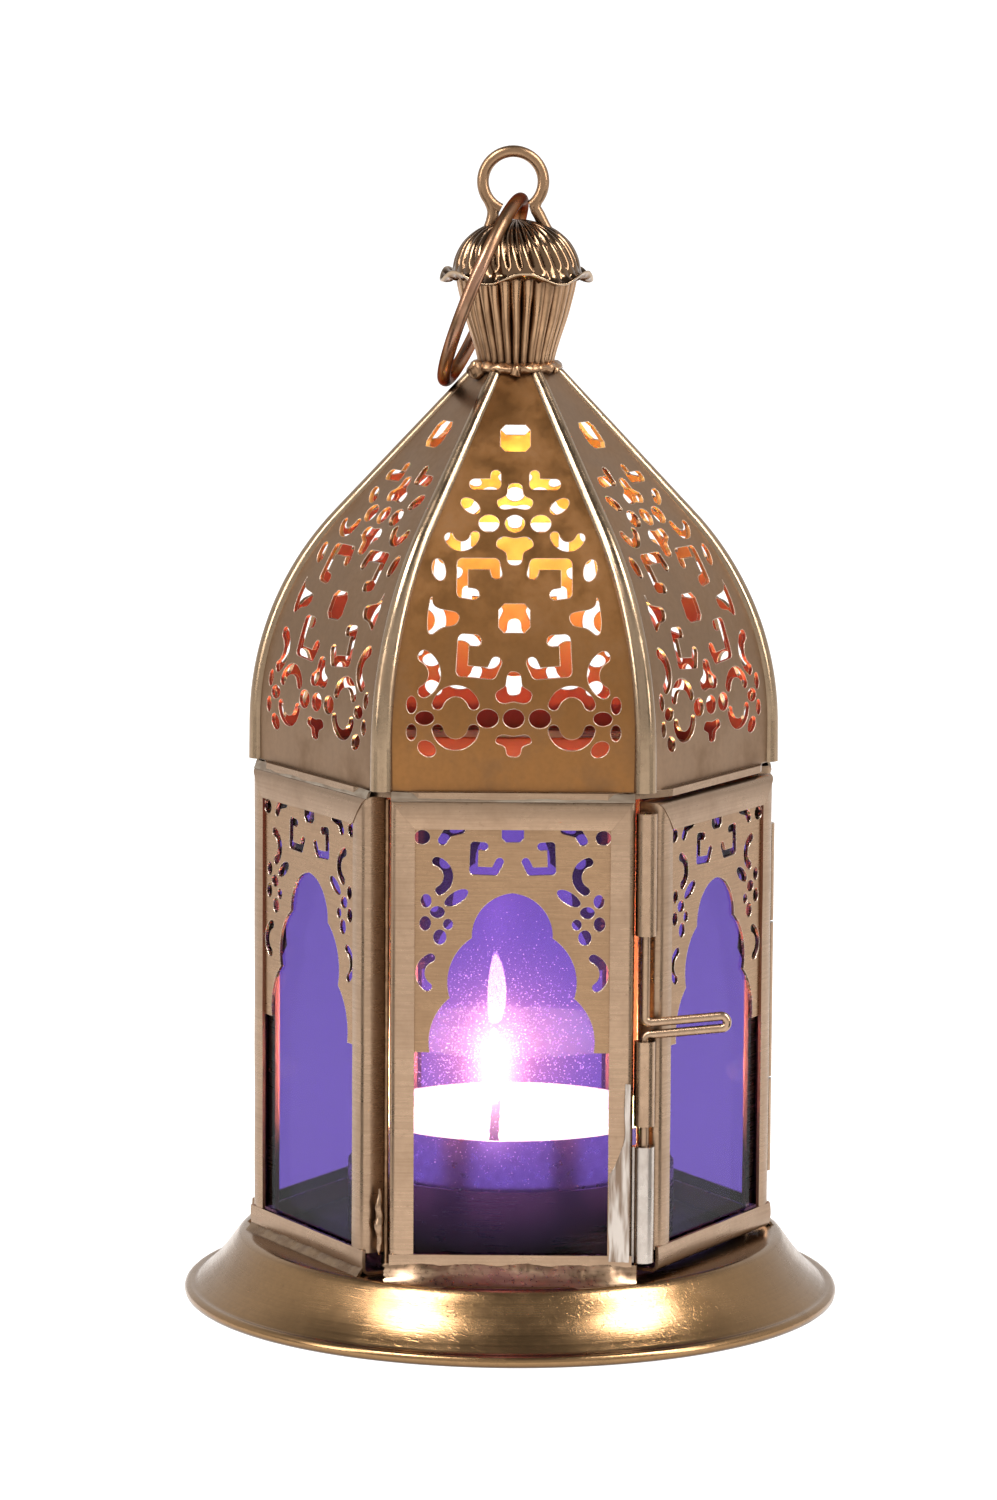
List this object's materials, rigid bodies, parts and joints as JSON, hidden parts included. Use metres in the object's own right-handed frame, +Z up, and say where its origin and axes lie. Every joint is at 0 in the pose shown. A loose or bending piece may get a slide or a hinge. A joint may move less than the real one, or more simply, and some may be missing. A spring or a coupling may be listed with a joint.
{
  "type": "candle lantern",
  "caption": "Hexagonal brass tealight lantern with violet glass walls behind pierced frets, a pierced dome roof, a hinged door with a drop bolt, and a loose carry ring.",
  "frame": {"origin": "centre of the base's underside, on the surface that the lantern stands on", "axes": "+Z up along the lantern's own axis, -Y out of the front wall, +X to the right of the front wall"},
  "size_m": [0.0838, 0.0838, 0.1469],
  "materials": {
    "wall_brass": "brushed, antiqued",
    "roof_brass": "satin, antiqued",
    "base_brass": "satin, spun",
    "latch_brass": "satin wire",
    "copper_wire": "bare copper-brown",
    "violet_glass": "clear tinted",
    "cup_aluminium": "pressed foil",
    "wax": "translucent wax",
    "wick_cotton": "charred cotton",
    "tab_steel": "tinned"
  },
  "bodies": {
    "lantern": {"base_dish": "base_brass", "candle_ring": "base_brass", "front_stiles": "wall_brass", "front_rails": "wall_brass", "front_glass": "violet_glass", "front_fret": "wall_brass", "back_right_stiles": "wall_brass", "back_right_rails": "wall_brass", "back_right_glass": "violet_glass", "back_right_fret": "wall_brass", "back_stiles": "wall_brass", "back_rails": "wall_brass", "back_glass": "violet_glass", "back_fret": "wall_brass", "back_left_stiles": "wall_brass", "back_left_rails": "wall_brass", "back_left_glass": "violet_glass", "back_left_fret": "wall_brass", "left_stiles": "wall_brass", "left_rails": "wall_brass", "left_glass": "violet_glass", "left_fret": "wall_brass", "roof_rim": "roof_brass", "roof_panel_front": "roof_brass", "roof_panel_right": "roof_brass", "roof_panel_back_right": "roof_brass", "roof_panel_back": "roof_brass", "roof_panel_back_left": "roof_brass", "roof_panel_left": "roof_brass", "roof_rib_1": "roof_brass", "roof_rib_2": "roof_brass", "roof_rib_3": "roof_brass", "roof_rib_4": "roof_brass", "roof_rib_5": "roof_brass", "roof_rib_6": "roof_brass", "neck_collar": "wall_brass", "finial_cup": "wall_brass", "finial_cap": "wall_brass", "hanging_eye": "wall_brass", "latch_keeper": "latch_brass", "hinge_fixed_knuckles": "latch_brass", "hinge_pin": "latch_brass"},
    "door": {"door_stiles": "wall_brass", "door_rails": "wall_brass", "door_glass": "violet_glass", "door_fret": "wall_brass", "door_latch_tubes": "latch_brass", "hinge_door_knuckle": "latch_brass"},
    "bolt": {"latch_bolt": "latch_brass"},
    "ring": {"carry_ring": "copper_wire"},
    "tealight": {"tealight_cup": "cup_aluminium", "tealight_wax": "wax", "tealight_wick": "wick_cotton", "wick_tab": "tab_steel"}
  },
  "joints": [
    {"name": "door_hinge", "type": "hinge", "parent": "lantern", "child": "door", "pos_m": [0.0324, 0, 0.0383], "axis": [0, 0, 1], "range_deg": [0, 110]},
    {"name": "latch_slide", "type": "slide", "parent": "door", "child": "bolt", "axis": [0, 0, 1], "range_m": [0, 0.01]},
    {"name": "ring_swing", "type": "hinge", "parent": "lantern", "child": "ring", "pos_m": [0.00035, 0, 0.1401], "axis": [0, 1, 0], "range_deg": [0, 315]},
    {"name": "tealight_lift", "type": "slide", "parent": "lantern", "child": "tealight", "axis": [0, 0, 1], "range_m": [0, 0.012]}
  ]
}
